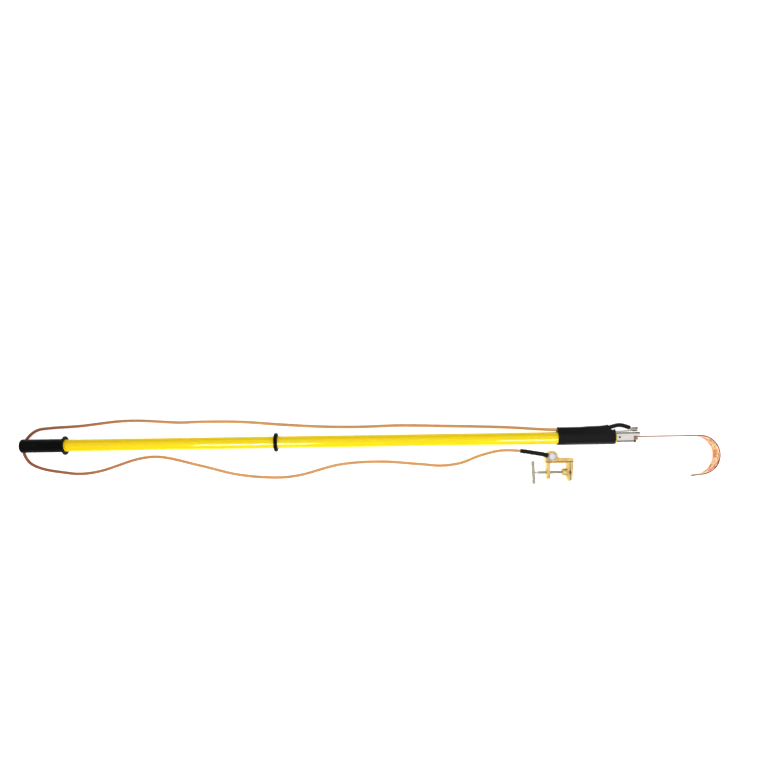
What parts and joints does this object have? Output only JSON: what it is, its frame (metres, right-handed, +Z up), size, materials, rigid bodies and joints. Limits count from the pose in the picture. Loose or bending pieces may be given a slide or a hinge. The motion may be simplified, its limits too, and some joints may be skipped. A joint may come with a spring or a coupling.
{
  "type": "discharge stick",
  "caption": "Insulated pole with a hand grip, a guard ring and a flat copper hook, whose covered earth lead ends in a screw clamp with a rail-guided sliding jaw.",
  "frame": {"origin": "on the floor, at the centre of the box that holds the pole, the hook and the head fittings", "axes": "+X along the pole from its butt to the hook, +Y towards the side that the lead leaves the ferrule from, +Z up from the floor that the stick lies on"},
  "size_m": [1.7478, 0.1779, 0.0473],
  "materials": {
    "pole_tube": "smooth pultruded glass-fibre tube, yellow gel coat",
    "foam_core": "closed-cell foam",
    "hand_grip": "dipped vinyl, satin",
    "guard_ring": "moulded rubber, matte",
    "heat_shrink_boot": "shrunk polyolefin, satin",
    "head_ferrule": "drawn and turned, bright",
    "ferrule_rivet_top": "dull",
    "ferrule_rivet_bottom": "dull",
    "hook_strip": "rolled copper, lightly brushed",
    "hook_bolt": "zinc plated, yellow passivated",
    "hook_nut": "zinc plated",
    "head_lug": "tinned copper, satin",
    "head_lug_sleeve": "shrunk sleeve, wrinkled",
    "earth_lead": "clear cover over stranded copper",
    "clamp_lug_sleeve": "shrunk sleeve, wrinkled",
    "clamp_lug": "tinned copper, satin",
    "clamp_bolt": "bright plated steel",
    "clamp_frame": "cast and fettled brass",
    "clamp_jaw": "cast and fettled brass",
    "jaw_pin": "ground pin",
    "clamp_screw": "zinc plated steel",
    "clamp_handle": "zinc plated steel"
  },
  "bodies": {
    "stick": {"pole_tube": "pole_tube", "foam_core": "foam_core", "hand_grip": "hand_grip", "guard_ring": "guard_ring", "heat_shrink_boot": "heat_shrink_boot", "head_ferrule": "head_ferrule", "ferrule_rivet_top": "ferrule_rivet_top", "ferrule_rivet_bottom": "ferrule_rivet_bottom", "hook_strip": "hook_strip", "hook_bolt": "hook_bolt", "hook_nut": "hook_nut", "head_lug": "head_lug", "head_lug_sleeve": "head_lug_sleeve", "earth_lead": "earth_lead", "clamp_lug_sleeve": "clamp_lug_sleeve", "clamp_lug": "clamp_lug", "clamp_bolt": "clamp_bolt", "clamp_frame": "clamp_frame"},
    "jaw": {"clamp_jaw": "clamp_jaw", "jaw_pin": "jaw_pin"},
    "screw": {"clamp_screw": "clamp_screw", "clamp_handle": "clamp_handle"}
  },
  "joints": [
    {"name": "jaw_slide", "type": "slide", "parent": "stick", "child": "jaw", "axis": [-1, 0, 0], "range_m": [0, 0.025]},
    {"name": "screw_turn", "type": "hinge", "parent": "jaw", "child": "screw", "pos_m": [0.4408, -0.0589, 0.01], "axis": [-1, 0, 0], "range_deg": [0, 7200]}
  ],
  "couplings": [
    {"joint": "screw_turn", "follows": "jaw_slide", "rad_per_m": 5026.5}
  ]
}
